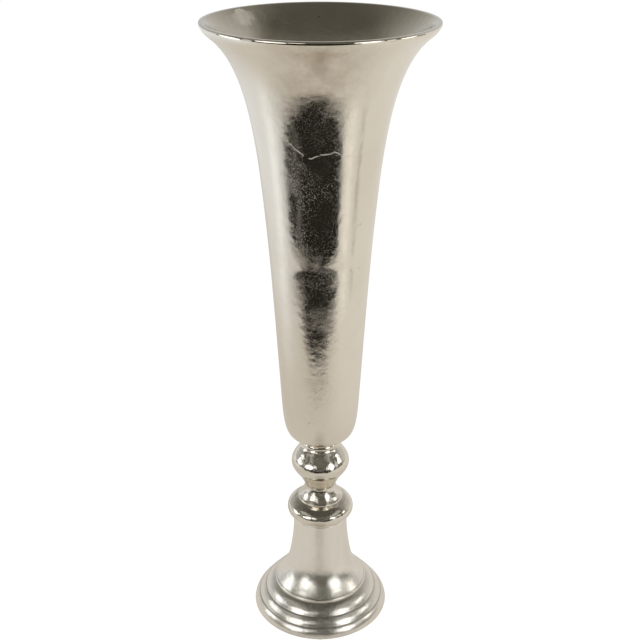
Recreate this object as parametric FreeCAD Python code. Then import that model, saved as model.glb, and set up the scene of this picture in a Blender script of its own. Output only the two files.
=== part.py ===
"""Trumpet vase: turned metal castings stacked on one tie rod.

A tall flared bowl stands on a neck ring, two turned knops, a thin collar and a
hollow stepped foot.  A steel rod runs down the middle and clamps the stack
between a dome nut inside the bowl and a hex nut inside the foot.

All lengths are in millimetres.  +Z is up, the origin is at the bottom centre.
An outline point is written (radius, height).  A lean is the angle in degrees
between a curve's upward direction and +Z, positive where it leans outwards.
"""
import FreeCAD, Part
import math
import os

# Tie rod and its hardware
ROD_RADIUS = 4.0
ROD_CHAMFER = 0.7
ROD_BORE_CLEARANCE = 0.5
THREAD_CLEARANCE = 0.1
ROD_PAST_NUT = 4.0
NUT_ACROSS_FLATS = 13.0
NUT_HEIGHT = 6.5
NUT_CORNER_DROP = 0.9
DOME_NUT_HEX_HEIGHT = 7.0
DOME_NUT_HEIGHT = 15.0
DOME_RADIUS = 6.2
DOME_HEADROOM = 1.5
BOWL_WASHER_RADIUS = 12.0
BOWL_WASHER_THICKNESS = 1.6
FOOT_WASHER_RADIUS = 15.0
FOOT_WASHER_THICKNESS = 2.0
SPRING_WASHER_RADIUS = 7.4
SPRING_WASHER_THICKNESS = 2.0
SPRING_WASHER_GAP = 1.4
SEAL_RADIUS = 14.0
SEAL_THICKNESS = 2.5

# Spigots that centre one casting on the next
SPIGOT_HEIGHT = 2.3
SPIGOT_CLEARANCE = 0.15
SPIGOT_HEADROOM = 0.3
FOOT_SPIGOT_RADIUS = 18.0
WAIST_SPIGOT_RADIUS = 10.0
RING_SPIGOT_RADIUS = 13.0

# Heights of the stacked pieces
PAD_THICKNESS = 1.5
FOOT_HEIGHT = 141.7
COLLAR_HEIGHT = 5.3
LOWER_KNOP_HEIGHT = 44.7
UPPER_KNOP_HEIGHT = 62.8
NECK_RING_HEIGHT = 14.0
BOWL_HEIGHT = 530.0

# Felt pads
PAD_RADIUS = 4.7
PAD_COUNT = 4

# Foot, heights from its rim
FOOT_RIM_RADIUS = 92.1
RIM_ROUND = 0.9
RIM_BAND_BULGE = 1.2
LOWER_STEP_INSET = 6.3
LOWER_STEP_HEIGHT = 13.5
LOWER_BAND_BULGE = 0.8
UPPER_STEP_INSET = 15.3
UPPER_STEP_HEIGHT = 24.1
UPPER_BAND_BULGE = 1.6
STEP_TREAD = 1.2
STEP_RISE = 0.5
BEAD_INSET = 29.4
BEAD_HEIGHT = 37.7
BEAD_BULGE = 1.0
SKIRT_END_INSET = 31.0
SKIRT_END_HEIGHT = 42.3
SKIRT_END_LEAN = -39.1
SKIRT_TOP_RADIUS = 42.1
SKIRT_TOP_HEIGHT = 78.2
SKIRT_TOP_LEAN = -11.1
COLUMN_RADIUS = 36.1
COLUMN_STRAIGHT = 11.7
COLUMN_EDGE = 0.4
FOOT_WALL = 5.2
RIM_WIDTH = 11.6
FOOT_MOUTH_HEIGHT = 11.5
FOOT_MOUTH_LEAN = -46.0
FOOT_WEB = 12.0
WEB_FILLET = 4.0

# Collar under the lower knop
COLLAR_RADIUS = 36.6

# Lower knop, heights from its underside
LOWER_KNOP_SEAT_RADIUS = 36.1
BULLNOSE_RADIUS = 44.35
BULLNOSE_HEIGHT = 8.1
BULLNOSE_UNDER_RADIUS = 39.4
BULLNOSE_UNDER_HEIGHT = 0.2
BULLNOSE_UNDER_LEAN = 79.0
LEDGE_RADIUS = 35.2
LEDGE_HEIGHT = 21.4
LEDGE_LEAN = -41.8
TIER_RADIUS = 29.7
TIER_HEIGHT = 25.5
TIER_EDGE = 1.7
TIER_LEAN = -47.0

# Waist, where the two knops meet
WAIST_RADIUS = 20.6

# Upper knop, heights from its underside
BELLY_FOOT_RADIUS = 28.0
BELLY_FOOT_HEIGHT_SHARE = 0.2484
BELLY_FOOT_LEAN = 34.1
UPPER_KNOP_RADIUS = 38.25
WIDEST_HEIGHT_SHARE = 0.5669
SHOULDER_RADIUS = 29.4
SHOULDER_HEIGHT_SHARE = 0.8742
SHOULDER_LEAN = -32.0
GROOVE_RADIUS = 24.6
GROOVE_LEAN = -6.0

# Neck ring, heights from its underside
RING_RADIUS = 25.3
RING_BEAD_HEIGHT = 7.2
RING_NECK_RADIUS = 21.6

# Bowl, heights from its underside
BOWL_UNDERSIDE_RADIUS = 32.1
CORNER_TOP_RADIUS = 49.4
CORNER_TOP_HEIGHT = 42.0
CORNER_TOP_LEAN = 3.6
FLARE_RADIUS = 65.15
FLARE_HEIGHT_SHARE = 0.5472
FLARE_LEAN = 4.75
FLARE_END_LEAN = 51.5
RIM_RADIUS = 134.95
LIP_ROLL_WIDTH = 8.65
LIP_ROLL_HEIGHT = 13.7
LIP_ROLL_BULGE = 0.8
LIP_EDGE_HEIGHT = 2.4
LIP_EDGE_BULGE = 0.4
LIP_CROWN = 0.3
LIP_WIDTH = 5.6
BOWL_WALL = 4.8
BOWL_FLOOR = 8.0
BOWL_FLOOR_RADIUS = 27.0

# Pulls of the free curves, as shares of the straight line between their ends
CORNER_SHARES = (0.14, 0.88)
WALL_SHARES = (0.31, 0.36)
FLARE_SHARES = (0.46, 0.23)
INNER_FLARE_SHARES = (0.46, 0.26)
INNER_CORNER_SHARES = (0.36, 0.45)
COLUMN_SHARES = (0.27, 0.27)
SKIRT_SHARES = (0.36, 0.41)
CAVITY_SHARES = (0.25, 0.40)
BULLNOSE_SHARES = (0.52, 0.12)
BULLNOSE_UNDER_SHARES = (0.33, 0.44)
FLANK_SHARES = (0.32, 0.18)
BELLY_SHARES = (0.37, 0.35)
UNDERSIDE_SHARES = (0.10, 0.15)
CROWN_SHARES = (0.38, 0.34)
SHOULDER_SHARES = (0.31, 0.35)

# Levels of the stack, from the floor up
FOOT_Z = PAD_THICKNESS
COLLAR_Z = FOOT_Z + FOOT_HEIGHT
LOWER_KNOP_Z = COLLAR_Z + COLLAR_HEIGHT
WAIST_Z = LOWER_KNOP_Z + LOWER_KNOP_HEIGHT
NECK_RING_Z = WAIST_Z + UPPER_KNOP_HEIGHT
BOWL_Z = NECK_RING_Z + NECK_RING_HEIGHT
RIM_Z = BOWL_Z + BOWL_HEIGHT

# Sizes that follow from the ones above
ROD_BORE = ROD_RADIUS + ROD_BORE_CLEARANCE
FLARE_HEIGHT = BOWL_HEIGHT * FLARE_HEIGHT_SHARE
FOOT_MOUTH_RADIUS = FOOT_RIM_RADIUS - RIM_WIDTH
LOWER_STEP_RADIUS = FOOT_RIM_RADIUS - LOWER_STEP_INSET
UPPER_STEP_RADIUS = FOOT_RIM_RADIUS - UPPER_STEP_INSET
BEAD_RADIUS = FOOT_RIM_RADIUS - BEAD_INSET
SKIRT_END_RADIUS = FOOT_RIM_RADIUS - SKIRT_END_INSET

AXIS_FOOT = FreeCAD.Vector(0, 0, 0)
AXIS_UP = FreeCAD.Vector(0, 0, 1)


def spot(point):
    """The 3-D place of an outline point, in the XZ plane."""
    radius, height = point
    return FreeCAD.Vector(radius, 0, height)


def straight(start, end):
    """A straight edge between two outline points."""
    return Part.makeLine(spot(start), spot(end))


def path(*points):
    """Straight edges from point to point."""
    return [straight(a, b) for a, b in zip(points, points[1:])]


def bulged(start, end, bulge):
    """An arc whose middle stands to the right of the way from start to end by the bulge."""
    run, rise = end[0] - start[0], end[1] - start[1]
    length = math.hypot(run, rise)
    middle = ((start[0] + end[0]) / 2 + bulge * rise / length,
              (start[1] + end[1]) / 2 - bulge * run / length)
    return Part.Arc(spot(start), spot(middle), spot(end)).toShape()


def flow(start, start_lean, end, end_lean, shares):
    """A free curve from a lower to an upper point that leaves and arrives at the given leans."""
    reach = math.hypot(end[0] - start[0], end[1] - start[1])
    poles = [spot(start)]
    for point, lean, pull in ((start, start_lean, shares[0]), (end, end_lean, -shares[1])):
        turn = math.radians(lean)
        poles.append(spot((point[0] + pull * reach * math.sin(turn),
                           point[1] + pull * reach * math.cos(turn))))
    poles.append(spot(end))
    curve = Part.BezierCurve()
    curve.setPoles(poles)
    return curve.toShape()


def turned(edges):
    """The solid that a closed outline sweeps in a full turn about the axis."""
    wire = Part.Wire(Part.__sortEdges__(edges))
    return Part.Face(wire).revolve(AXIS_FOOT, AXIS_UP, 360)


def tube(outer, inner, bottom, top):
    """A plain ring between two heights."""
    return turned(path((inner, bottom), (outer, bottom), (outer, top), (inner, top), (inner, bottom)))


def hexagon(across_flats, height, bottom):
    """A hexagonal prism that stands on the given height."""
    corner = across_flats / math.sqrt(3)
    corners = [FreeCAD.Vector(corner * math.cos(math.radians(60 * turn)),
                              corner * math.sin(math.radians(60 * turn)), bottom)
               for turn in range(7)]
    return Part.Face(Part.makePolygon(corners)).extrude(AXIS_UP * height)


def recess_outline(radius, bottom):
    """Points of a blind recess for a spigot, from the bore out to the underside."""
    wall = radius + SPIGOT_CLEARANCE
    roof = bottom + SPIGOT_HEIGHT + SPIGOT_HEADROOM
    return [(ROD_BORE, roof), (wall, roof), (wall, bottom)]


def bowl_walls(inset, floor_end, corner_shares, top, flare_shares):
    """Corner, wall and flare of the bowl, moved inwards by the inset, up to the top point."""
    corner = (CORNER_TOP_RADIUS - inset, BOWL_Z + CORNER_TOP_HEIGHT)
    flare = (FLARE_RADIUS - inset, BOWL_Z + FLARE_HEIGHT)
    return [flow(floor_end, 90, corner, CORNER_TOP_LEAN, corner_shares),
            flow(corner, CORNER_TOP_LEAN, flare, FLARE_LEAN, WALL_SHARES),
            flow(flare, FLARE_LEAN, top, FLARE_END_LEAN, flare_shares)]


def trumpet_bowl():
    """The tall bowl: closed floor, thin wall, wide flare and a thick lip."""
    edge_radius = RIM_RADIUS - LIP_EDGE_BULGE
    lip_z = RIM_Z - LIP_CROWN
    flare_end = (RIM_RADIUS - LIP_ROLL_WIDTH, RIM_Z - LIP_ROLL_HEIGHT)
    edge_foot = (edge_radius, lip_z - LIP_EDGE_HEIGHT)
    edge_top = (edge_radius, lip_z)
    lip_inside = (RIM_RADIUS - LIP_WIDTH, lip_z)
    underside = (BOWL_UNDERSIDE_RADIUS, BOWL_Z)
    floor_end = (BOWL_FLOOR_RADIUS, BOWL_Z + BOWL_FLOOR)
    edges = bowl_walls(0, underside, CORNER_SHARES, flare_end, FLARE_SHARES)
    edges += [bulged(flare_end, edge_foot, LIP_ROLL_BULGE),
              bulged(edge_foot, edge_top, LIP_EDGE_BULGE),
              bulged(edge_top, lip_inside, LIP_CROWN)]
    edges += bowl_walls(BOWL_WALL, floor_end, INNER_CORNER_SHARES, lip_inside, INNER_FLARE_SHARES)
    edges += path(floor_end, (ROD_BORE, floor_end[1]),
                  *recess_outline(RING_SPIGOT_RADIUS, BOWL_Z), underside)
    return turned(edges)


def neck_ring():
    """The beaded ring between the upper knop and the bowl."""
    hole = RING_SPIGOT_RADIUS + SPIGOT_CLEARANCE
    bead = (RING_RADIUS, NECK_RING_Z + RING_BEAD_HEIGHT / 2)
    groove = (GROOVE_RADIUS, NECK_RING_Z)
    neck = (RING_NECK_RADIUS, NECK_RING_Z + RING_BEAD_HEIGHT)
    edges = [Part.Arc(spot(groove), spot(bead), spot(neck)).toShape()]
    edges += path(neck, (RING_NECK_RADIUS, BOWL_Z), (hole, BOWL_Z), (hole, NECK_RING_Z), groove)
    return turned(edges)


def upper_knop():
    """The bulb-shaped knop, with a long spigot that passes the neck ring."""
    waist = (WAIST_RADIUS, WAIST_Z)
    belly_foot = (BELLY_FOOT_RADIUS, WAIST_Z + UPPER_KNOP_HEIGHT * BELLY_FOOT_HEIGHT_SHARE)
    widest = (UPPER_KNOP_RADIUS, WAIST_Z + UPPER_KNOP_HEIGHT * WIDEST_HEIGHT_SHARE)
    shoulder = (SHOULDER_RADIUS, WAIST_Z + UPPER_KNOP_HEIGHT * SHOULDER_HEIGHT_SHARE)
    groove = (GROOVE_RADIUS, NECK_RING_Z)
    spigot_top = BOWL_Z + SPIGOT_HEIGHT
    edges = [flow(waist, 0, belly_foot, BELLY_FOOT_LEAN, UNDERSIDE_SHARES),
             flow(belly_foot, BELLY_FOOT_LEAN, widest, 0, BELLY_SHARES),
             flow(widest, 0, shoulder, SHOULDER_LEAN, CROWN_SHARES),
             flow(shoulder, SHOULDER_LEAN, groove, GROOVE_LEAN, SHOULDER_SHARES)]
    edges += path(groove, (RING_SPIGOT_RADIUS, NECK_RING_Z), (RING_SPIGOT_RADIUS, spigot_top),
                  (ROD_BORE, spigot_top), *recess_outline(WAIST_SPIGOT_RADIUS, WAIST_Z), waist)
    return turned(edges)


def lower_knop():
    """The two-tiered knop: a wide bullnose ring under a smaller stepped tier."""
    seat = (LOWER_KNOP_SEAT_RADIUS, LOWER_KNOP_Z)
    under = (BULLNOSE_UNDER_RADIUS, LOWER_KNOP_Z + BULLNOSE_UNDER_HEIGHT)
    bullnose = (BULLNOSE_RADIUS, LOWER_KNOP_Z + BULLNOSE_HEIGHT)
    ledge = (LEDGE_RADIUS, LOWER_KNOP_Z + LEDGE_HEIGHT)
    tier_foot = (TIER_RADIUS, LOWER_KNOP_Z + TIER_HEIGHT - TIER_EDGE)
    tier = (TIER_RADIUS, LOWER_KNOP_Z + TIER_HEIGHT)
    waist = (WAIST_RADIUS, WAIST_Z)
    spigot_top = WAIST_Z + SPIGOT_HEIGHT
    edges = [straight(seat, under),
             flow(under, BULLNOSE_UNDER_LEAN, bullnose, 0, BULLNOSE_UNDER_SHARES),
             flow(bullnose, 0, ledge, LEDGE_LEAN, BULLNOSE_SHARES),
             straight(ledge, tier_foot),
             straight(tier_foot, tier),
             flow(tier, TIER_LEAN, waist, 0, FLANK_SHARES)]
    edges += path(waist, (WAIST_SPIGOT_RADIUS, WAIST_Z), (WAIST_SPIGOT_RADIUS, spigot_top),
                  (ROD_BORE, spigot_top), *recess_outline(FOOT_SPIGOT_RADIUS, LOWER_KNOP_Z), seat)
    return turned(edges)


def stem_collar():
    """The thin collar between the lower knop and the foot."""
    hole = FOOT_SPIGOT_RADIUS + SPIGOT_CLEARANCE
    return turned(path((hole, COLLAR_Z), (COLUMN_RADIUS, COLLAR_Z),
                       (COLLAR_RADIUS, COLLAR_Z + COLUMN_EDGE),
                       (COLLAR_RADIUS, LOWER_KNOP_Z - COLUMN_EDGE),
                       (LOWER_KNOP_SEAT_RADIUS, LOWER_KNOP_Z), (hole, LOWER_KNOP_Z), (hole, COLLAR_Z)))


def foot_outside():
    """The foot's outer outline, from the rim up to the top of the column."""
    lower_step = (LOWER_STEP_RADIUS, FOOT_Z + LOWER_STEP_HEIGHT)
    lower_tread = (LOWER_STEP_RADIUS - STEP_TREAD, lower_step[1] + STEP_RISE)
    upper_step = (UPPER_STEP_RADIUS, FOOT_Z + UPPER_STEP_HEIGHT)
    upper_tread = (UPPER_STEP_RADIUS - STEP_TREAD, upper_step[1] + STEP_RISE)
    rim_edge = (FOOT_RIM_RADIUS, FOOT_Z + RIM_ROUND)
    bead = (BEAD_RADIUS, FOOT_Z + BEAD_HEIGHT)
    skirt_end = (SKIRT_END_RADIUS, FOOT_Z + SKIRT_END_HEIGHT)
    skirt_top = (SKIRT_TOP_RADIUS, FOOT_Z + SKIRT_TOP_HEIGHT)
    column_foot = (COLUMN_RADIUS, COLLAR_Z - COLUMN_STRAIGHT)
    column_top = (COLUMN_RADIUS, COLLAR_Z - COLUMN_EDGE)
    return [straight((FOOT_RIM_RADIUS - RIM_ROUND, FOOT_Z), rim_edge),
            bulged(rim_edge, lower_step, RIM_BAND_BULGE),
            straight(lower_step, lower_tread),
            bulged(lower_tread, upper_step, LOWER_BAND_BULGE),
            straight(upper_step, upper_tread),
            bulged(upper_tread, bead, UPPER_BAND_BULGE),
            bulged(bead, skirt_end, BEAD_BULGE),
            flow(skirt_end, SKIRT_END_LEAN, skirt_top, SKIRT_TOP_LEAN, SKIRT_SHARES),
            flow(skirt_top, SKIRT_TOP_LEAN, column_foot, 0, COLUMN_SHARES),
            straight(column_foot, column_top)]


def foot_cavity():
    """The outline of the hollow under the foot, from its mouth up to the bore."""
    mouth_top = (FOOT_MOUTH_RADIUS, FOOT_Z + FOOT_MOUTH_HEIGHT)
    skirt_top = (SKIRT_TOP_RADIUS - FOOT_WALL, FOOT_Z + SKIRT_TOP_HEIGHT)
    roof = COLLAR_Z - FOOT_WEB
    column = COLUMN_RADIUS - FOOT_WALL
    fillet_foot = (column, roof - WEB_FILLET)
    fillet_top = (column - WEB_FILLET, roof)
    fillet_bulge = WEB_FILLET * (1 - math.sqrt(0.5))
    return [straight((FOOT_MOUTH_RADIUS, FOOT_Z), mouth_top),
            flow(mouth_top, FOOT_MOUTH_LEAN, skirt_top, SKIRT_TOP_LEAN, CAVITY_SHARES),
            flow(skirt_top, SKIRT_TOP_LEAN, fillet_foot, 0, COLUMN_SHARES),
            bulged(fillet_foot, fillet_top, fillet_bulge),
            straight(fillet_top, (ROD_BORE, roof))]


def foot():
    """The hollow stepped foot with its column, thick web and spigot."""
    spigot_top = LOWER_KNOP_Z + SPIGOT_HEIGHT
    rim = path((FOOT_MOUTH_RADIUS, FOOT_Z), (FOOT_RIM_RADIUS - RIM_ROUND, FOOT_Z))
    top = path((COLUMN_RADIUS, COLLAR_Z - COLUMN_EDGE), (COLUMN_RADIUS - COLUMN_EDGE, COLLAR_Z),
               (FOOT_SPIGOT_RADIUS, COLLAR_Z), (FOOT_SPIGOT_RADIUS, spigot_top),
               (ROD_BORE, spigot_top), (ROD_BORE, COLLAR_Z - FOOT_WEB))
    return turned(rim + foot_outside() + top + foot_cavity())


def felt_pads():
    """Round pads glued under the rim, evenly spaced."""
    ring = FOOT_RIM_RADIUS - (RIM_WIDTH + RIM_ROUND) / 2
    pads = []
    for number in range(PAD_COUNT):
        turn = 2 * math.pi * number / PAD_COUNT
        centre = FreeCAD.Vector(ring * math.cos(turn), ring * math.sin(turn), 0)
        pads.append(Part.makeCylinder(PAD_RADIUS, PAD_THICKNESS, centre))
    return Part.makeCompound(pads)


def washer(radius, thickness, bottom):
    """A flat washer that the rod passes through."""
    return tube(radius, ROD_BORE, bottom, bottom + thickness)


def spring_washer(bottom):
    """A split washer, drawn flat as it is when tight."""
    ring = washer(SPRING_WASHER_RADIUS, SPRING_WASHER_THICKNESS, bottom)
    corner = FreeCAD.Vector(0, -SPRING_WASHER_GAP / 2, bottom)
    slot = Part.makeBox(SPRING_WASHER_RADIUS * 2, SPRING_WASHER_GAP, SPRING_WASHER_THICKNESS, corner)
    return ring.cut(slot)


def hex_nut(bottom):
    """A hex nut with its lower corners taken off and a plain bore."""
    corner = NUT_ACROSS_FLATS / math.sqrt(3)
    flats = NUT_ACROSS_FLATS / 2
    top = bottom + NUT_HEIGHT
    turning = turned(path((0, bottom), (flats, bottom), (corner, bottom + NUT_CORNER_DROP),
                          (corner, top), (0, top), (0, bottom)))
    bore = Part.makeCylinder(ROD_RADIUS + THREAD_CLEARANCE, NUT_HEIGHT, FreeCAD.Vector(0, 0, bottom))
    return hexagon(NUT_ACROSS_FLATS, NUT_HEIGHT, bottom).common(turning).cut(bore)


def dome_nut(bottom):
    """A closed nut: hex below, domed cap above and a blind bore."""
    corner = NUT_ACROSS_FLATS / math.sqrt(3)
    shoulder = bottom + DOME_NUT_HEX_HEIGHT
    crown = bottom + DOME_NUT_HEIGHT
    flats = NUT_ACROSS_FLATS / 2
    turning = turned(path((0, bottom), (corner, bottom), (corner, shoulder - NUT_CORNER_DROP),
                          (flats, shoulder), (0, shoulder), (0, bottom)))
    hex_part = hexagon(NUT_ACROSS_FLATS, DOME_NUT_HEX_HEIGHT, bottom).common(turning)
    side = (DOME_RADIUS, crown - DOME_RADIUS)
    middle = (DOME_RADIUS * math.sqrt(0.5), crown - DOME_RADIUS * (1 - math.sqrt(0.5)))
    dome = turned([Part.Arc(spot(side), spot(middle), spot((0, crown))).toShape()]
                  + path((0, crown), (0, bottom), (DOME_RADIUS, bottom), side))
    depth = rod_top() + DOME_HEADROOM - bottom
    bore = Part.makeCylinder(ROD_RADIUS + THREAD_CLEARANCE, depth, FreeCAD.Vector(0, 0, bottom))
    return hex_part.fuse(dome).removeSplitter().cut(bore)


def dome_nut_z():
    """The height of the dome nut's seat on the washer and the seal."""
    return BOWL_Z + BOWL_FLOOR + SEAL_THICKNESS + BOWL_WASHER_THICKNESS


def rod_top():
    """The height of the rod's upper end, inside the dome nut."""
    return dome_nut_z() + DOME_NUT_HEIGHT - DOME_RADIUS


def hex_nut_z():
    """The height of the hex nut's lower face, under the web of the foot."""
    return COLLAR_Z - FOOT_WEB - FOOT_WASHER_THICKNESS - SPRING_WASHER_THICKNESS - NUT_HEIGHT


def tie_rod():
    """The threaded rod, as a plain bar with chamfered ends."""
    bottom = hex_nut_z() - ROD_PAST_NUT
    top = rod_top()
    tip = ROD_RADIUS - ROD_CHAMFER
    return turned(path((0, bottom), (tip, bottom), (ROD_RADIUS, bottom + ROD_CHAMFER),
                       (ROD_RADIUS, top - ROD_CHAMFER), (tip, top), (0, top), (0, bottom)))


def pieces():
    """Every piece of the vase by its node name."""
    floor = BOWL_Z + BOWL_FLOOR
    web = COLLAR_Z - FOOT_WEB
    return {
        "trumpet_bowl": trumpet_bowl(),
        "neck_ring": neck_ring(),
        "upper_knop": upper_knop(),
        "lower_knop": lower_knop(),
        "stem_collar": stem_collar(),
        "foot": foot(),
        "felt_pads": felt_pads(),
        "tie_rod": tie_rod(),
        "bowl_seal": washer(SEAL_RADIUS, SEAL_THICKNESS, floor),
        "bowl_washer": washer(BOWL_WASHER_RADIUS, BOWL_WASHER_THICKNESS, floor + SEAL_THICKNESS),
        "dome_nut": dome_nut(dome_nut_z()),
        "foot_washer": washer(FOOT_WASHER_RADIUS, FOOT_WASHER_THICKNESS, web - FOOT_WASHER_THICKNESS),
        "spring_washer": spring_washer(hex_nut_z() + NUT_HEIGHT),
        "hex_nut": hex_nut(hex_nut_z()),
    }


os.makedirs("parts", exist_ok=True)
for name, shape in pieces().items():
    shape.exportStep(os.path.join("parts", name + ".step"))
    box = shape.BoundBox
    print(name, "valid", shape.isValid(), "solids", len(shape.Solids), "volume", round(shape.Volume),
          "from", round(box.ZMin, 2), "to", round(box.ZMax, 2), "width", round(box.XLength, 2))
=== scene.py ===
"""Looks of the trumpet vase: a satin cast bowl on polished knops and a stepped foot.

Every cast piece is a surface of revolution worked out with numpy.  Its outline is
a closed loop of (radius, height) points in millimetres, softened like a buffed
casting, carried round the axis and given a faint hand-made waviness.  The object
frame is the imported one: metres, +Z up, origin at the bottom centre.
"""

import logging
import math
from dataclasses import dataclass
from enum import Enum
from typing import Callable, Dict, Optional, Sequence, Tuple

import bmesh
import bpy
import numpy as np
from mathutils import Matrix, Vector


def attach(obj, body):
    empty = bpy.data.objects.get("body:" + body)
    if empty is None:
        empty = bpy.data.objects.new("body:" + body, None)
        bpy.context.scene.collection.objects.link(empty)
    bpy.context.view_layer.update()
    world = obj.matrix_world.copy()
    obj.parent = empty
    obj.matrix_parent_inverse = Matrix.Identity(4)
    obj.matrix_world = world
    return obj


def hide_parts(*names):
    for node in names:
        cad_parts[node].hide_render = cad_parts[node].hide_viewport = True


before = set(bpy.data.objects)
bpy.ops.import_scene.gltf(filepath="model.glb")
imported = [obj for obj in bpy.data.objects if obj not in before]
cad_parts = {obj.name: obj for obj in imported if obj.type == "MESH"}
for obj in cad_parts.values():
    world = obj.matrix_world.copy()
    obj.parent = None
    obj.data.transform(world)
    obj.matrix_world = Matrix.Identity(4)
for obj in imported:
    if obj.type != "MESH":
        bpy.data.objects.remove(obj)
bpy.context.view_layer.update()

LOG = logging.getLogger("vase")
MM = 0.001

Array = np.ndarray
Piece = bpy.types.Object
Material = bpy.types.Material
Tree = bpy.types.NodeTree
Node = bpy.types.Node
Socket = bpy.types.NodeSocket
Colour = Tuple[float, float, float]
Point = Tuple[float, float]
Knot = Tuple[float, float, float]
Relief = Callable[[Array, Array], Array]


class Slot(Enum):
    """Names of the material slots of the record."""

    SATIN = "satin_cast_metal"
    POLISHED = "polished_cast_metal"
    FELT = "pad_felt"


# Outlines

# A point is (radius, height) in millimetres.  A knot adds its lean from upright in
# degrees, positive outwards.

PATH_POINTS = 12
ARC_POINTS = 24

# How an outline is softened and sampled, in millimetres, and how much its whole turning
# and a close band count beside its whole length.
FINE_STEP = 0.12
SOFTNESS = 0.35
TURNING_SHARE = 1.2
CLOSE_SHARE = 0.5
SAME_POINT = 1e-6


def path(*corners: Point) -> Array:
    """Straight runs from corner to corner, with evenly spaced points on each."""
    share = np.linspace(0.0, 1.0, PATH_POINTS)[:, None]
    ends = np.array([corner[:2] for corner in corners], float)
    return np.vstack([first * (1.0 - share) + last * share for first, last in zip(ends, ends[1:])])


def bulged(start: Point, end: Point, bulge: float) -> Array:
    """Points of an arc whose middle stands right of the way from start to end.

    The radius is (chord squared / 4 + bulge squared) / (2 bulge), and the point at
    turn t is centre + radius (cos t right + sin t along).

    Args:
        start: First point.
        end: Last point.
        bulge: How far the arc's middle stands from the chord, in millimetres.

    Returns:
        Array of (radius, height) rows.
    """
    first, last = np.array(start[:2], float), np.array(end[:2], float)
    chord = float(np.hypot(*(last - first)))
    radius = (chord * chord / 4.0 + bulge * bulge) / (2.0 * bulge)
    along = (last - first) / chord
    right = np.array([along[1], -along[0]])
    centre = (first + last) / 2.0 + right * (bulge - radius)
    half = math.asin(chord / 2.0 / radius)
    turn = np.linspace(-half, half, ARC_POINTS)[:, None]
    return centre + radius * (np.cos(turn) * right + np.sin(turn) * along)


def flow(start: Knot, end: Knot, pulls: Point, count: int = 60) -> Array:
    """Points of a cubic curve that leaves and arrives at its knots' leans.

    The two inner control points lie on the end directions (sin lean, cos lean), each
    at its share of the straight distance between the ends.  The point at share s is
    (1-s)^3 A + 3(1-s)^2 s B + 3(1-s) s^2 C + s^3 D.

    Args:
        start: Lower knot.
        end: Upper knot.
        pulls: Shares of the straight distance for the two inner control points.
        count: How many points.

    Returns:
        Array of (radius, height) rows.
    """
    first, last = np.array(start[:2], float), np.array(end[:2], float)
    reach = float(np.hypot(*(last - first)))
    leans = np.radians([start[2], end[2]])
    ways = np.stack([np.sin(leans), np.cos(leans)], axis=1) * reach
    poles = np.array([first, first + pulls[0] * ways[0], last - pulls[1] * ways[1], last])
    share = np.linspace(0.0, 1.0, count)[:, None]
    rest = 1.0 - share
    weights = np.hstack([rest ** 3, 3 * rest ** 2 * share, 3 * rest * share ** 2, share ** 3])
    return weights @ poles


def turning(loop: Array) -> Array:
    """How far a closed loop of (radius, height) rows turns at each row, in radians."""
    ahead = np.roll(loop, -3, axis=0) - loop
    behind = loop - np.roll(loop, 3, axis=0)
    heading = np.arctan2(ahead[:, 1], ahead[:, 0]) - np.arctan2(behind[:, 1], behind[:, 0])
    return np.abs((heading + math.pi) % (2 * math.pi) - math.pi)


@dataclass
class Outline:
    """A closed outline in runs of points, counterclockwise with the axis on its left.

    Only the outside runs take the relief of hand finishing.
    """

    outside: Sequence[Array]
    hidden: Sequence[Array]

    def softened(self, count: int, close_band: Optional[Point]) -> Tuple[Array, Array]:
        """The outline with rounded corners, sampled closer where it bends.

        The loop is laid out at fine steps, averaged with a bell-shaped weight, and then
        read at equal steps of length plus turning.

        Args:
            count: Points in the result.
            close_band: Heights between which the outside gets extra points, if any.

        Returns:
            Array of (radius, height) rows and the outside weight of each.
        """
        rows = np.vstack([np.column_stack([run, np.full(len(run), weight)])
                          for runs, weight in ((self.outside, 1.0), (self.hidden, 0.0)) for run in runs])
        rows = np.vstack([rows, rows[:1]])
        steps = np.hypot(*np.diff(rows[:, :2], axis=0).T)
        rows = rows[np.append(True, steps > SAME_POINT)]
        way = np.append(0.0, np.cumsum(np.hypot(*np.diff(rows[:, :2], axis=0).T)))
        fine = np.linspace(0.0, way[-1], int(way[-1] / FINE_STEP), endpoint=False)
        loop = np.stack([np.interp(fine, way, column) for column in rows.T], axis=1)
        reach = int(4 * SOFTNESS / FINE_STEP)
        bell = np.exp(-0.5 * (np.arange(-reach, reach + 1) * FINE_STEP / SOFTNESS) ** 2)
        bell /= bell.sum()
        padded = np.vstack([loop[-reach:], loop, loop[:reach]])
        smooth = np.stack([np.convolve(column, bell, "valid") for column in padded.T], axis=1)
        bend = turning(smooth[:, :2])
        effort = 1.0 / len(fine) + TURNING_SHARE * bend / bend.sum()
        if close_band is not None:
            low, high = close_band
            inside = (smooth[:, 1] > low) & (smooth[:, 1] < high) & (smooth[:, 2] > 0.5)
            effort += CLOSE_SHARE * inside / inside.sum()
        effort = np.cumsum(effort)
        wanted = np.linspace(effort[0], effort[-1], count, endpoint=False)
        chosen = np.stack([np.interp(wanted, effort, column) for column in smooth.T], axis=1)
        return chosen[:, :2], chosen[:, 2]


# Meshes


def placed(name: str, data: bpy.types.ID) -> Piece:
    """A new object with the given data, linked to the scene."""
    made = bpy.data.objects.new(name, data)
    bpy.context.scene.collection.objects.link(made)
    return made


def new_mesh(name: str, places: Array, faces: Sequence[Sequence[int]]) -> bpy.types.Mesh:
    """A mesh of places in metres and of faces that number their corners."""
    mesh = bpy.data.meshes.new(name)
    mesh.from_pydata(places.reshape(-1, 3).tolist(), [], faces)
    return mesh


def swept(radius: object, angle: Array, height: Array) -> Array:
    """Places (r cos t, r sin t, z) of radii, turns and heights."""
    return np.stack([radius * np.cos(angle), radius * np.sin(angle), height], axis=-1)


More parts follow.
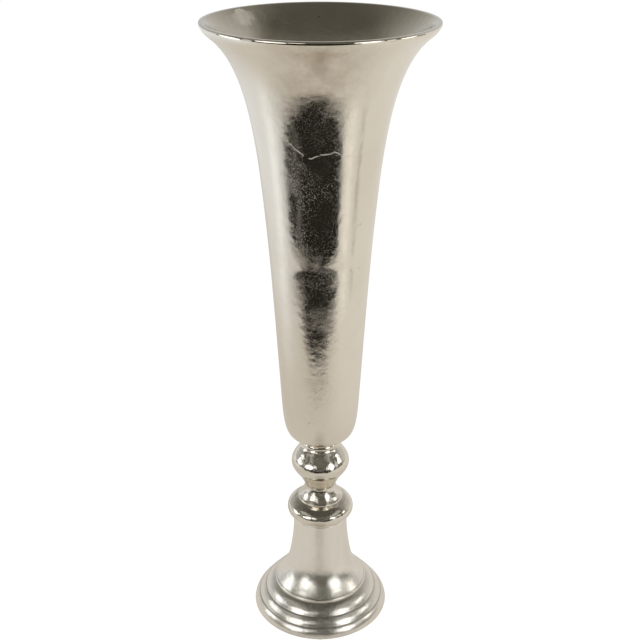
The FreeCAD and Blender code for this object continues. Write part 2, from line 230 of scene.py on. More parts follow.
def ring_quads(rings: int, steps: int, closed: bool) -> Array:
    """Faces between neighbouring rings of points.

    Args:
        rings: Rings of points, one after the other.
        steps: Points in each ring.
        closed: Whether the last ring also joins the first.

    Returns:
        Array with four point numbers for each face.
    """
    rows = rings if closed else rings - 1
    ring, spoke = np.meshgrid(np.arange(rows), np.arange(steps), indexing="ij")
    up, on = (ring + 1) % rings, (spoke + 1) % steps
    return np.stack([ring * steps + spoke, ring * steps + on, up * steps + on, up * steps + spoke],
                    axis=-1).reshape(-1, 4)


def turned(name: str, outline: Outline, count: int, steps: int, relief: Relief,
           close_band: Optional[Point] = None) -> Piece:
    """The surface that a closed outline sweeps in a full turn about the axis.

    A point at outline place i and turn t is (r cos t, r sin t, z), where r is the
    outline's radius plus the relief at that turn and height, outside only.

    Args:
        name: Name of the piece.
        outline: The closed outline in millimetres.
        count: Points taken from the outline.
        steps: Steps in the full turn.
        relief: Radial relief in millimetres from turn and height arrays.
        close_band: Heights between which the outside gets extra points.

    Returns:
        The new object at the origin, with smooth faces and a UV map.
    """
    points, outside = outline.softened(count, close_band)
    turn = np.linspace(0.0, 2.0 * math.pi, steps, endpoint=False)
    height, angle = np.meshgrid(points[:, 1], turn, indexing="ij")
    radius = points[:, :1] + relief(angle, height) * outside[:, None]
    corners = ring_quads(count, steps, True)
    mesh = new_mesh(name, swept(radius, angle, height) * MM, corners.tolist())
    mesh.polygons.foreach_set("use_smooth", np.ones(len(corners), dtype=bool))
    along = np.append(0.0, np.cumsum(np.hypot(*np.diff(points, axis=0, append=points[:1]).T)))
    along /= along[-1]
    ring, spoke = np.divmod(corners[:, 0], steps)
    round_share = np.stack([spoke, spoke + 1, spoke + 1, spoke], axis=-1) / steps
    up_share = np.stack([along[ring], along[ring], along[ring + 1], along[ring + 1]], axis=-1)
    uv = mesh.uv_layers.new(name="UVMap")
    uv.data.foreach_set("uv", np.stack([round_share, up_share], axis=-1).astype(np.float32).ravel())
    mesh.validate()
    LOG.info("%s: %d faces", name, len(corners))
    return placed(name, mesh)


def close_poles(mesh: bpy.types.Mesh) -> None:
    """Merges the points that meet at a pole and turns the faces outwards."""
    shape = bmesh.new()
    shape.from_mesh(mesh)
    bmesh.ops.remove_doubles(shape, verts=shape.verts, dist=SAME_POINT)
    bmesh.ops.recalc_face_normals(shape, faces=shape.faces)
    shape.to_mesh(mesh)
    shape.free()


def hand_made(depth: float, seed: int, round_waves: Sequence[int], pitch: float) -> Relief:
    """A faint waviness left by hand finishing: a sum of sines round and up the piece.

    The relief is depth times the mean of (sin(m t + k z + p) - 1) / 2, so it never
    stands proud of the outline.

    Args:
        depth: Deepest relief in millimetres.
        seed: Seed of the phases.
        round_waves: Whole waves round the piece.
        pitch: Height of the longest wave in millimetres.

    Returns:
        A function of turn and height arrays.
    """
    draw = np.random.default_rng(seed)
    waves = [(m, 2 * math.pi / pitch * draw.uniform(-1.6, 1.6), draw.uniform(0, 2 * math.pi))
             for m in round_waves]

    def relief(angle: Array, height: Array) -> Array:
        """Relief in millimetres at each turn and height."""
        total = sum(np.sin(m * angle + k * height + p) for m, k, p in waves)
        return depth * (total / len(waves) - 1.0) / 2.0

    return relief


# Shader node helpers


def as_rgba(value: object) -> object:
    """A colour of three numbers with full alpha added; anything else unchanged."""
    return (*value, 1.0) if isinstance(value, tuple) and len(value) == 3 else value


class Nodes:
    """Short ways to add and link shader nodes in one tree."""

    def __init__(self, tree: Tree) -> None:
        """Keeps the tree that nodes go into."""
        self.tree = tree

    def feed(self, node: Node, inputs: dict) -> Node:
        """Sets or links a node's inputs, by name or index, and gives the node back."""
        for key, value in inputs.items():
            if isinstance(value, Socket):
                self.tree.links.new(value, node.inputs[key])
            else:
                node.inputs[key].default_value = value
        return node

    def add(self, kind: str, inputs: Optional[dict] = None, **settings: object) -> Node:
        """A new node of a ShaderNode kind, with settings and with input values or links."""
        node = self.tree.nodes.new("ShaderNode" + kind)
        for key, value in settings.items():
            setattr(node, key, value)
        return self.feed(node, inputs or {})

    def group(self, tree: Tree, inputs: dict) -> Node:
        """A group node of the given tree, with its inputs set or linked."""
        return self.add("Group", inputs, node_tree=tree)

    def place(self, kind: str = "Object") -> Socket:
        """Texture coordinates of the given kind."""
        return self.add("TexCoord").outputs[kind]

    def parts(self, place: Socket) -> Sequence[Socket]:
        """The X, Y and Z of a place."""
        return self.add("SeparateXYZ", {0: place}).outputs[:]

    def math(self, operation: str, *values: object) -> Socket:
        """A Math node's result for the given values or sockets."""
        return self.add("Math", dict(enumerate(values)), operation=operation).outputs[0]

    def times(self, first: object, *others: object) -> object:
        """The product of values or sockets, from the left."""
        for other in others:
            first = self.math("MULTIPLY", first, other)
        return first

    def scaled(self, value: object, factor: object, rest: object) -> Socket:
        """A value times a factor, added to the rest."""
        return self.math("MULTIPLY_ADD", value, factor, rest)

    def gap(self, first: object, second: object) -> Socket:
        """How far two values are apart."""
        return self.math("ABSOLUTE", self.math("SUBTRACT", first, second))

    def ramp(self, value: object, low: object, high: object, to_low: object = 0.0,
             to_high: object = 1.0) -> Socket:
        """A value taken smoothly from one range to another and held at its ends."""
        return self.add("MapRange", {"Value": value, "From Min": low, "From Max": high,
                                     "To Min": to_low, "To Max": to_high},
                        interpolation_type="SMOOTHSTEP").outputs[0]

    def noise(self, place: object, scale: object, detail: float, rough: float = 0.5,
              distortion: float = 0.0) -> Socket:
        """A noise texture's value at a place."""
        return self.add("TexNoise", {"Vector": place, "Scale": scale, "Detail": detail,
                                     "Roughness": rough, "Distortion": distortion}).outputs[0]

    def wander(self, value: object, pace: float, detail: float, rough: float = 0.5) -> Socket:
        """Noise along one value, at the given pace."""
        return self.add("TexNoise", {"W": self.times(value, pace), "Detail": detail, "Roughness": rough},
                        noise_dimensions="1D").outputs[0]

    def blend(self, share: object, first: object, second: object) -> Socket:
        """A colour between two colours."""
        return self.add("Mix", {0: share, 6: as_rgba(first), 7: as_rgba(second)},
                        data_type="RGBA").outputs[2]

    def shade(self, inputs: dict) -> None:
        """Sets or links the inputs of the material's main shader."""
        self.feed(self.tree.nodes["Principled BSDF"], inputs)

    def glow(self, colour: object, strength: float = 1.0) -> Socket:
        """An emission shader."""
        return self.add("Emission", {"Color": as_rgba(colour), "Strength": strength}).outputs[0]

    def bump(self, height: Socket) -> Socket:
        """The normal of a bump whose height is in metres."""
        return self.add("Bump", {"Height": height, "Strength": 1.0, "Distance": 1.0}).outputs[0]


def new_material(name: str) -> Tuple[Material, Nodes]:
    """A new material with nodes, and the helper for its tree."""
    material = bpy.data.materials.new(name)
    material.use_nodes = True
    return material, Nodes(material.node_tree)


def new_group(name: str, inputs: dict, outputs: Sequence[str]) -> Tuple[Nodes, dict, Node]:
    """An empty shader node group with a Position input, float inputs and float outputs.

    Args:
        name: Name of the group.
        inputs: Default of each float input by name.
        outputs: Names of the outputs.

    Returns:
        The tree's helper, the input sockets by name and the output node.
    """
    tree = bpy.data.node_groups.new(name, "ShaderNodeTree")
    tree.interface.new_socket("Position", in_out="INPUT", socket_type="NodeSocketVector")
    for title, default in inputs.items():
        socket = tree.interface.new_socket(title, in_out="INPUT", socket_type="NodeSocketFloat")
        socket.default_value = default
    for title in outputs:
        tree.interface.new_socket(title, in_out="OUTPUT", socket_type="NodeSocketFloat")
    entry = tree.nodes.new("NodeGroupInput")
    return Nodes(tree), {s.name: s for s in entry.outputs if s.name}, tree.nodes.new("NodeGroupOutput")


RING_DENSITY = 500.0


class SurfaceEffects:
    """Node groups that more than one finish uses, each built once."""

    def __init__(self) -> None:
        """Builds the groups."""
        self.grain = self.cast_grain()
        self.turning = self.turning_marks()
        self.tarnish = self.tarnish_clouds()
        self.crease = self.crease_dirt_and_shade()

    @staticmethod
    def cells(nodes: Nodes, place: object, scale: object) -> Tuple[object, object]:
        """Scattered dots: the distance from each dot's middle and the dot's own chance."""
        found = nodes.add("TexVoronoi", {"Vector": place, "Scale": scale}, feature="F1")
        chance = nodes.add("SeparateColor", {0: found.outputs["Color"]}).outputs[0]
        return found.outputs["Distance"], chance

    @classmethod
    def cast_grain(cls) -> Tree:
        """Pebbled cast skin: two sizes of noise and small pits, stronger in patches."""
        nodes, ins, leave = new_group("cast grain", {"Density": 1000.0, "Patch Floor": 0.4}, ("Height",))
        place, density = ins["Position"], ins["Density"]
        coarse = nodes.noise(place, density, 1.0)
        fine = nodes.noise(place, nodes.times(density, 2.6), 0.0)
        strength = nodes.ramp(nodes.noise(place, 28.0, 2.0), 0.42, 0.62, ins["Patch Floor"], 1.0)
        skin = nodes.scaled(fine, 0.35, nodes.times(coarse, 0.65))
        distance, chance = cls.cells(nodes, place, density)
        pit = nodes.times(nodes.ramp(distance, 0.05, 0.38, -1.0, 0.0),
                          nodes.math("GREATER_THAN", chance, 0.55))
        skin = nodes.scaled(pit, 0.85, skin)
        nodes.feed(leave, {"Height": nodes.times(nodes.math("SUBTRACT", skin, 0.5), strength)})
        return nodes.tree

    @staticmethod
    def turning_marks() -> Tree:
        """Fine rings left by turning and buffing: noise stretched round the axis."""
        nodes, ins, leave = new_group("turning marks", {}, ("Height",))
        across, back, up = nodes.parts(ins["Position"])
        turn = nodes.math("ARCTAN2", back, across)
        flat = nodes.add("CombineXYZ", {0: nodes.times(nodes.math("SINE", turn), 0.9),
                                        1: nodes.times(nodes.math("COSINE", turn), 0.9),
                                        2: nodes.times(up, RING_DENSITY)})
        rings = nodes.noise(flat.outputs[0], 1.0, 3.0, 0.6)
        nodes.feed(leave, {"Height": nodes.math("SUBTRACT", rings, 0.5)})
        return nodes.tree

    @classmethod
    def tarnish_clouds(cls) -> Tree:
        """Soft clouds of handling film and light tarnish, and scattered specks, from 0 to 1."""
        nodes, ins, leave = new_group("tarnish clouds", {"Density": 14.0}, ("Clouds", "Specks"))
        stretch = nodes.add("Mapping", {"Vector": ins["Position"], "Scale": (1.0, 1.0, 0.45)}).outputs[0]
        clouds = nodes.noise(stretch, ins["Density"], 4.0, 0.55, 0.4)
        distance, chance = cls.cells(nodes, ins["Position"], 55.0)
        specks = nodes.times(nodes.ramp(distance, 0.03, 0.075, 1.0, 0.0),
                             nodes.math("GREATER_THAN", chance, 0.90))
        nodes.feed(leave, {"Clouds": nodes.ramp(clouds, 0.38, 0.68), "Specks": specks})
        return nodes.tree

    @staticmethod
    def crease_dirt_and_shade() -> Tree:
        """A dark line of dirt and painted shade in a crease at one height, broken up round the piece.

        Carried is the mask of the creases before it, and the darker of the two leaves.
        """
        nodes, ins, leave = new_group("crease dirt", {"Level": 0.0, "Spread": 0.001, "Carried": 0.0},
                                      ("Mask",))
        height = nodes.parts(ins["Position"])[2]
        away = nodes.gap(height, ins["Level"])
        broken = nodes.noise(ins["Position"], 60.0, 3.0)
        mask = nodes.times(nodes.ramp(away, 0.0, ins["Spread"], 1.0, 0.0),
                           nodes.ramp(broken, 0.3, 0.6, 0.45, 1.0))
        nodes.feed(leave, {"Mask": nodes.math("MAXIMUM", mask, ins["Carried"])})
        return nodes.tree


@dataclass(frozen=True)
class Mark:
    """What a mark on the metal does where its mask is 1: tone, its share, roughness, rise."""

    tone: Colour
    share: float = 1.0
    rough: float = 0.0
    rise: float = 0.0


SPECKS = Mark((0.16, 0.13, 0.10), 0.75)
# Crease lines: dirt, and painted shade where the creases lie in shade.
DIRT_AND_SHADE = Mark((0.34, 0.29, 0.23), 0.12, 0.12)
# Handling film on the flare's front, darkened further as painted shade.
FILM_AND_SHADE = Mark((0.62, 0.56, 0.465), 1.0, 0.05)
HAIRLINE = Mark((0.95, 0.92, 0.85), 0.4, 0.25, 0.00016)
FLECK = Mark((0.20, 0.16, 0.12))
LIP_GLOSS = 0.05

# Bends of the hairline, its two ends first: shares of the 100 mm across the bowl's
# middle, and heights as shares of LINE_RANGE.
LINE_BENDS = ((0.0, 0.92), (1.0, 0.28), (0.165, 0.576), (0.31, 0.34), (0.385, 0.25), (0.475, 0.34),
              (0.55, 0.36), (0.685, 0.42), (0.73, 0.33), (0.76, 0.29))
LINE_RANGE = 0.05
LINE_BASE = 0.6455

# Centres and radii of the flecks on the front of the bowl, in millimetres.
FLECK_PLACES = (((36.3, -50.1, 521.4), 2.2), ((46.0, -41.3, 520.4), 1.4), ((43.5, -45.0, 517.0), 1.0),
                ((46.0, -48.1, 577.9), 1.6), ((43.0, -50.6, 576.5), 1.1), ((-13.9, -47.3, 312.1), 1.1))


class BowlMarks:
    """Marks that only the bowl has: polished lip, handling film with painted shade, hairline and flecks.
    """

    def __init__(self, nodes: Nodes, place: Socket) -> None:
        """Keeps the material's node helper and its place socket, split into its parts."""
        self.nodes, self.place = nodes, place
        self.across, self.back, self.up = nodes.parts(place)

    def below_lip(self) -> Socket:
        """0 on the polished lip and 1 below it."""
        return self.nodes.ramp(self.up, 0.7945, 0.7958, 1.0, 0.0)

    def film(self) -> Socket:
        """Mask of a film with mottled edges on the flare's front, where it is lifted: handling film and
        painted shade.
        """
        nodes = self.nodes
        mottle = nodes.noise(self.place, 45.0, 5.0, 0.7)
        middle = nodes.ramp(nodes.gap(self.across, 0.0), 0.02, 0.075, 1.0, 0.0)
        return nodes.times(nodes.ramp(self.up, 0.70, 0.75), nodes.ramp(self.back, -0.045, -0.075),
                           middle, nodes.ramp(mottle, 0.3, 0.7, 0.35, 1.0))

    def flecks(self) -> Socket:
        """Mask of small dull flecks with ragged edges."""
        nodes = self.nodes
        found: object = 0.0
        for place, radius in FLECK_PLACES:
            spot = tuple(part * MM for part in place)
            gap = nodes.add("VectorMath", {0: self.place, 1: spot}, operation="DISTANCE").outputs["Value"]
            mark = nodes.ramp(gap, radius * MM * 0.3, radius * MM, 1.0, 0.0)
            found = nodes.math("MAXIMUM", mark, found)
        return nodes.times(found, nodes.ramp(nodes.noise(self.place, 900.0, 2.0), 0.40, 0.58, 0.1, 0.8))

    def line_course(self) -> Socket:
        """The hairline's height in metres by place across the bowl, without its jags."""
        share = self.nodes.add("MapRange", {"Value": self.across, "From Min": -0.05,
                                            "From Max": 0.05}).outputs[0]
        course = self.nodes.add("FloatCurve", {"Value": share})
        curve = course.mapping.curves[0]
        for point, bend in zip(curve.points, LINE_BENDS):
            point.location = bend
        for bend in LINE_BENDS[2:]:
            curve.points.new(*bend)
        for point in curve.points:
            point.handle_type = "VECTOR"
        course.mapping.update()
        return self.nodes.scaled(course.outputs[0], LINE_RANGE, LINE_BASE)

    def hairline(self) -> Socket:
        """Mask of a casting line that wanders across the front of the bowl.

        It is 1 where the height is within a fraction of a millimetre of a jagged
        level, which is its course plus noise across the bowl.
        """
        nodes, across = self.nodes, self.across
        level = nodes.scaled(nodes.wander(across, 60.0, 3.0, 0.7), 0.009, self.line_course())
        away = nodes.gap(self.up, level)
        gap = nodes.ramp(nodes.gap(across, -0.0155), 0.002, 0.004)
        broken = nodes.ramp(nodes.wander(across, 50.0, 2.0), 0.36, 0.5, 0.35, 1.0)
        line = nodes.times(nodes.ramp(away, 0.0, 0.00042, 1.0, 0.0), nodes.times(gap, broken))
        front = nodes.ramp(self.back, -0.05, -0.03, 1.0, 0.0)
        ends = nodes.times(nodes.ramp(across, -0.042, -0.034), nodes.ramp(across, 0.030, 0.050, 1.0, 0.0))
        return nodes.times(nodes.times(line, front), ends)


@dataclass
class Coat:
    """Colour, roughness and bump height of a material while marks are laid on it."""

    nodes: Nodes
    colour: Socket
    rough: Socket
    height: Socket

    def lay(self, mask: Socket, mark: Mark) -> None:
        """Lays one mark on the coat where the mask is 1."""
        nodes = self.nodes
        self.colour = nodes.blend(nodes.times(mask, mark.share), self.colour, mark.tone)
        self.rough = nodes.scaled(mask, mark.rough, self.rough)
        self.height = nodes.scaled(mask, mark.rise, self.height)


@dataclass(frozen=True)
class MetalFinish:
    """A plated cast finish: colours, gloss, skin grain, turning marks and crease lines of dirt and
    painted shade.
    """

    name: str
    clean: Colour
    dull: Colour
    grain_density: float
    grain_depth: float
    patch_floor: float
    cloud_density: float
    lumps: float
    gloss: float = 0.07
    dull_gloss: float = 0.10
    ring_depth: float = 0.000006
    creases: Tuple[Point, ...] = ()
    bowl_marks: bool = False

    def build(self, effects: SurfaceEffects) -> Material:
        """The material, on Object coordinates.

        Args:
            effects: The shared node groups.

        Returns:
            The finished material.
        """
        material, nodes = new_material(self.name)
        place = nodes.place()
        clouds = nodes.group(effects.tarnish, {"Position": place, "Density": self.cloud_density})
        grain = nodes.group(effects.grain, {"Position": place, "Density": self.grain_density,
                                            "Patch Floor": self.patch_floor})
        rings = nodes.group(effects.turning, {"Position": place})
        dullness = clouds.outputs["Clouds"]
        coat = Coat(nodes, nodes.blend(dullness, self.clean, self.dull),
                    nodes.ramp(dullness, 0.0, 1.0, self.gloss, self.dull_gloss),
                    nodes.times(grain.outputs["Height"], self.grain_depth))
        coat.lay(clouds.outputs["Specks"], SPECKS)
        # Darker lines in the creases: dirt and painted shade.
        if self.creases:
            coat.lay(self.dirt_and_shade(nodes, effects, place), DIRT_AND_SHADE)
        marks = BowlMarks(nodes, place) if self.bowl_marks else None
        if marks:
            below = marks.below_lip()
            coat.height = nodes.times(coat.height, below)
            coat.rough = nodes.scaled(below, nodes.math("SUBTRACT", coat.rough, LIP_GLOSS), LIP_GLOSS)
            # Handling film and painted shade on the flare's front.
            coat.lay(marks.film(), FILM_AND_SHADE)
        coat.height = nodes.scaled(rings.outputs["Height"], self.ring_depth, coat.height)
        coat.height = nodes.scaled(nodes.noise(place, 110.0, 1.0), self.lumps, coat.height)
        if marks:
            coat.lay(marks.hairline(), HAIRLINE)
            coat.lay(marks.flecks(), FLECK)
        nodes.shade({"Metallic": 1.0, "Base Color": coat.colour, "Roughness": coat.rough,
                     "Normal": nodes.bump(coat.height)})
        return material

    def dirt_and_shade(self, nodes: Nodes, effects: SurfaceEffects, place: Socket) -> object:
        """The mask of dirt and painted shade in all the finish's creases, each carried on to the next."""
        carried: object = 0.0
        for level, spread in self.creases:
            inputs = {"Position": place, "Level": level * MM, "Spread": spread * MM, "Carried": carried}
            carried = nodes.group(effects.crease, inputs).outputs["Mask"]
        return carried


@dataclass(frozen=True)
class PlainFinish:
    """A finish for steel hardware, rubber or felt: two tones mixed by noise, and a fine bump."""

    name: str
    tone: Colour
    second_tone: Colour
    metallic: float
    gloss: float
    density: float
    depth: float
    sheen: float = 0.0

    def build(self, _: SurfaceEffects) -> Material:
        """The material, on Object coordinates, without the shared node groups."""
        material, nodes = new_material(self.name)
        place = nodes.place()
        fine = nodes.noise(place, self.density, 4.0)
        broad = nodes.noise(place, self.density * 0.08, 3.0)
        nodes.shade({
            "Metallic": self.metallic, "Sheen Weight": self.sheen,
            "Base Color": nodes.blend(nodes.ramp(broad, 0.35, 0.65), self.tone, self.second_tone),
            "Roughness": nodes.ramp(broad, 0.3, 0.7, self.gloss, min(1.0, self.gloss * 1.3)),
            "Normal": nodes.bump(nodes.times(fine, self.depth))})
        return material


FINISHES = {
    "satin": MetalFinish(
        "satin plated casting", (0.80, 0.75, 0.66), (0.765, 0.71, 0.615), grain_density=1250.0,
        grain_depth=0.00011, patch_floor=0.4, cloud_density=12.0, lumps=0.0002,
        ring_depth=0.000004, bowl_marks=True),
    # The foot has the bowl's plating; its colours are set lighter as painted light.
    "foot": MetalFinish(
        "satin plated foot", (0.88, 0.845, 0.775), (0.84, 0.80, 0.725), grain_density=1300.0,
        grain_depth=0.00013, patch_floor=0.95, cloud_density=20.0, lumps=0.0003, gloss=0.06,
        creases=((15.3, 1.2), (25.9, 1.2), (39.4, 1.0), (43.9, 1.2))),
    "polished": MetalFinish(
        "polished plated casting", (0.80, 0.755, 0.67), (0.73, 0.68, 0.585), grain_density=650.0,
        grain_depth=0.00012, patch_floor=0.3, cloud_density=22.0, lumps=0.0006, dull_gloss=0.12,
        creases=((172.6, 1.0), (256.0, 1.0), (263.4, 1.2), (193.2, 0.8))),
    "zinc": PlainFinish("zinc plated steel", (0.62, 0.63, 0.62), (0.48, 0.49, 0.47), metallic=1.0,
                        gloss=0.3, density=900.0, depth=0.00004),
    "rubber": PlainFinish("black rubber", (0.018, 0.018, 0.018), (0.03, 0.03, 0.029), metallic=0.0,
                          gloss=0.62, density=1400.0, depth=0.00006),
    "felt": PlainFinish("pressed felt", (0.06, 0.06, 0.062), (0.10, 0.10, 0.105), metallic=0.0,
                        gloss=0.95, density=1600.0, depth=0.0004, sheen=0.5),
}

Finishes = Dict[str, Material]


def dress(piece: Piece, node: str, material: Material) -> None:
    """Finishes a new piece and puts it in the place of its CAD node."""
    piece.data.materials.append(material)
    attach(piece, "root")
    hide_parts(node)


# The pieces

# Heights at which castings meet, and how they fit on each other, in millimetres.
COLUMN_TOP = 143.2
COLLAR_TOP = 148.5
RING_TOP = 270.0
BORE = 4.5
NECK_SPIGOT = 13.0
KNOP_SPIGOT = 10.0
FOOT_SPIGOT = 18.0
SPIGOT_RISE = 2.3
RECESS_RISE = 2.6
RECESS_GAP = 0.15

# Height in millimetres and change of the front wall's lean there in degrees.
DRESSED_LEANS = ((395, 0), (405, -0.4), (480, -0.6), (495, -1.1), (507, -1.5), (512, -1.7), (517, -1.3),
                 (519.5, -0.4), (521, 0.5), (523.5, 1.9), (526.5, 3.3), (529.5, 3.9), (533, 3.7),
                 (537, 3.1), (542, 2.4), (547, 1.6), (552, 0.9), (560, 0.2), (566, 0), (575, -0.4),
                 (650, -0.6), (662, 0), (702, 0), (712, -1), (733, -1), (745, 0), (755, 0.6),
                 (775, 0.6), (785, 0))


@dataclass
class Bowl:
    """The tall flared bowl, closed below, open and rolled at the top."""

    base: float = RING_TOP
    floor_rise: float = 8.0
    floor_radius: float = 27.0
    underside_radius: float = 32.1
    corner: Knot = (49.4, 312.0, 3.6)
    flare: Knot = (65.15, 560.0, 4.75)
    roll: Knot = (126.3, 786.3, 51.5)
    wall: float = 4.8
    edge_low: Point = (134.5, 796.4)
    edge_high: Point = (134.55, 799.7)
    lip_inside: Knot = (129.35, 799.7, 51.5)
    relief_low: float = 275.0
    relief_high: float = 795.0
    relief_fade: float = 25.0
    close_band: Point = (500.0, 572.0)
    rows: int = 300
    steps: int = 320

    def outline(self) -> Outline:
        """The bowl's closed outline: up the outside, over the lip and down the inside."""
        floor, roof = self.base + self.floor_rise, self.base + RECESS_RISE
        recess = NECK_SPIGOT + RECESS_GAP
        corner, flare = ((knot[0] - self.wall, *knot[1:]) for knot in (self.corner, self.flare))
        return Outline(
            [flow((self.underside_radius, self.base, 90), self.corner, (0.14, 0.88)),
             flow(self.corner, self.flare, (0.31, 0.36), 120),
             flow(self.flare, self.roll, (0.46, 0.23), 160), bulged(self.roll, self.edge_low, 0.8)],
            [bulged(self.edge_low, self.edge_high, 0.33), bulged(self.edge_high, self.lip_inside, 0.3),
             flow(flare, self.lip_inside, (0.46, 0.26), 120)[::-1],
             flow(corner, flare, (0.31, 0.36), 80)[::-1],
             flow((self.floor_radius, floor, 90), corner, (0.36, 0.45))[::-1],
             path((self.floor_radius, floor), (BORE, floor), (BORE, roof), (recess, roof),
                  (recess, self.base), (self.underside_radius, self.base))])

    def relief(self, angle: Array, height: Array) -> Array:
        """Hand-made waviness plus the flat that dressing left on the front.

        The flat changes the wall's lean by the table's degrees, and its relief is the
        sum of the lean's tangent up the wall.  It fades round the sides with the
        squared cosine of the turn.  Waviness and flat fade out at rim and bottom.

        Args:
            angle: Turns about the axis.
            height: Heights in millimetres.

        Returns:
            Relief in millimetres at each turn and height.
        """
        wavy = hand_made(0.25, 7, (2, 3, 4, 6, 9), 110.0)(angle, height)
        levels = np.linspace(390.0, 790.0, 801)
        leans = np.interp(levels, *np.array(DRESSED_LEANS).T)
        rise = np.cumsum(np.tan(np.radians(leans))) * (levels[1] - levels[0])
        flat = np.interp(height, levels, rise) * np.clip(-np.sin(angle), 0, 1) ** 2
        fade = (np.clip((height - self.relief_low) / self.relief_fade, 0, 1)
                * np.clip((self.relief_high - height) / self.relief_fade, 0, 1))
        return (wavy + flat) * fade

    def make(self, finishes: Finishes) -> None:
        """Builds and dresses the bowl."""
        bowl = turned("bowl", self.outline(), self.rows, self.steps, self.relief, self.close_band)
        dress(bowl, "trumpet_bowl", finishes["satin"])


@dataclass
class Stem:
    """Neck ring, upper knop, lower knop and collar, from the top down."""

    collar_base: float = COLUMN_TOP
    knop_base: float = COLLAR_TOP
    waist: Knot = (20.6, 193.2, 0)
    groove: Knot = (24.6, 256.0, -6)
    top: float = RING_TOP
    steps: int = 288

    def neck_ring(self) -> Outline:
        """The beaded ring under the bowl."""
        bead, neck, neck_top = (25.3, 259.6), (21.6, 263.2), (21.6, self.top)
        hole = NECK_SPIGOT + RECESS_GAP
        return Outline([bulged(self.groove, bead, 0.55), bulged(bead, neck, 0.85), path(neck, neck_top)],
                       [path(neck_top, (hole, self.top), (hole, self.groove[1]), self.groove)])

    def upper_knop(self) -> Outline:
        """The bulb-shaped knop with its long spigot."""
        hollow, belly, shoulder = (28.0, 208.8, 34.1), (38.25, 228.8, 0), (29.4, 248.1, -32)
        recess, roof = KNOP_SPIGOT + RECESS_GAP, self.waist[1] + RECESS_RISE
        spigot_top = self.top + SPIGOT_RISE
        return Outline(
            [flow(self.waist, hollow, (0.10, 0.15)), flow(hollow, belly, (0.37, 0.35)),
             flow(belly, shoulder, (0.38, 0.34)), flow(shoulder, self.groove, (0.31, 0.35))],
            [path(self.groove, (NECK_SPIGOT, self.groove[1]), (NECK_SPIGOT, spigot_top),
                  (BORE, spigot_top), (BORE, roof), (recess, roof), (recess, self.waist[1]), self.waist)])

    def lower_knop(self) -> Outline:
        """The two-tiered knop: a bullnose ring under a stepped tier."""
        seat, under = (36.1, self.knop_base), (39.4, 148.7, 79)
        bullnose, ledge = (44.35, 156.6, 0), (35.2, 169.9, -41.8)
        tier_foot, tier = (29.7, 172.3), (29.7, 174.0, -47)
        spigot_top = self.waist[1] + SPIGOT_RISE
        recess, roof = FOOT_SPIGOT + RECESS_GAP, self.knop_base + RECESS_RISE
        return Outline(
            [path(seat, under), flow(under, bullnose, (0.33, 0.44)), flow(bullnose, ledge, (0.52, 0.12)),
             path(ledge, tier_foot, tier), flow(tier, self.waist, (0.32, 0.18))],
            [path(self.waist, (KNOP_SPIGOT, self.waist[1]), (KNOP_SPIGOT, spigot_top), (BORE, spigot_top),
                  (BORE, roof), (recess, roof), (recess, self.knop_base), seat)])

    def collar(self) -> Outline:
        """The thin collar between the lower knop and the foot."""
        seat, edge, bevel = 36.1, 36.6, 0.4
        hole = FOOT_SPIGOT + RECESS_GAP
        low, high = self.collar_base, self.knop_base
        return Outline([path((seat, low), (edge, low + bevel), (edge, high - bevel), (seat, high))],
                       [path((seat, high), (hole, high), (hole, low), (seat, low))])

    def make(self, finishes: Finishes) -> None:
        """Builds and dresses the four pieces of the stem."""
        for node, outline, rows, seed in (
                ("neck_ring", self.neck_ring(), 90, 3), ("upper_knop", self.upper_knop(), 180, 4),
                ("lower_knop", self.lower_knop(), 190, 5), ("stem_collar", self.collar(), 70, 6)):
            relief = hand_made(0.06, seed, (2, 3, 5), 40.0)
            piece = turned(node.replace("stem_", "") + "_cast", outline, rows, self.steps, relief)
            dress(piece, node, finishes["polished"])


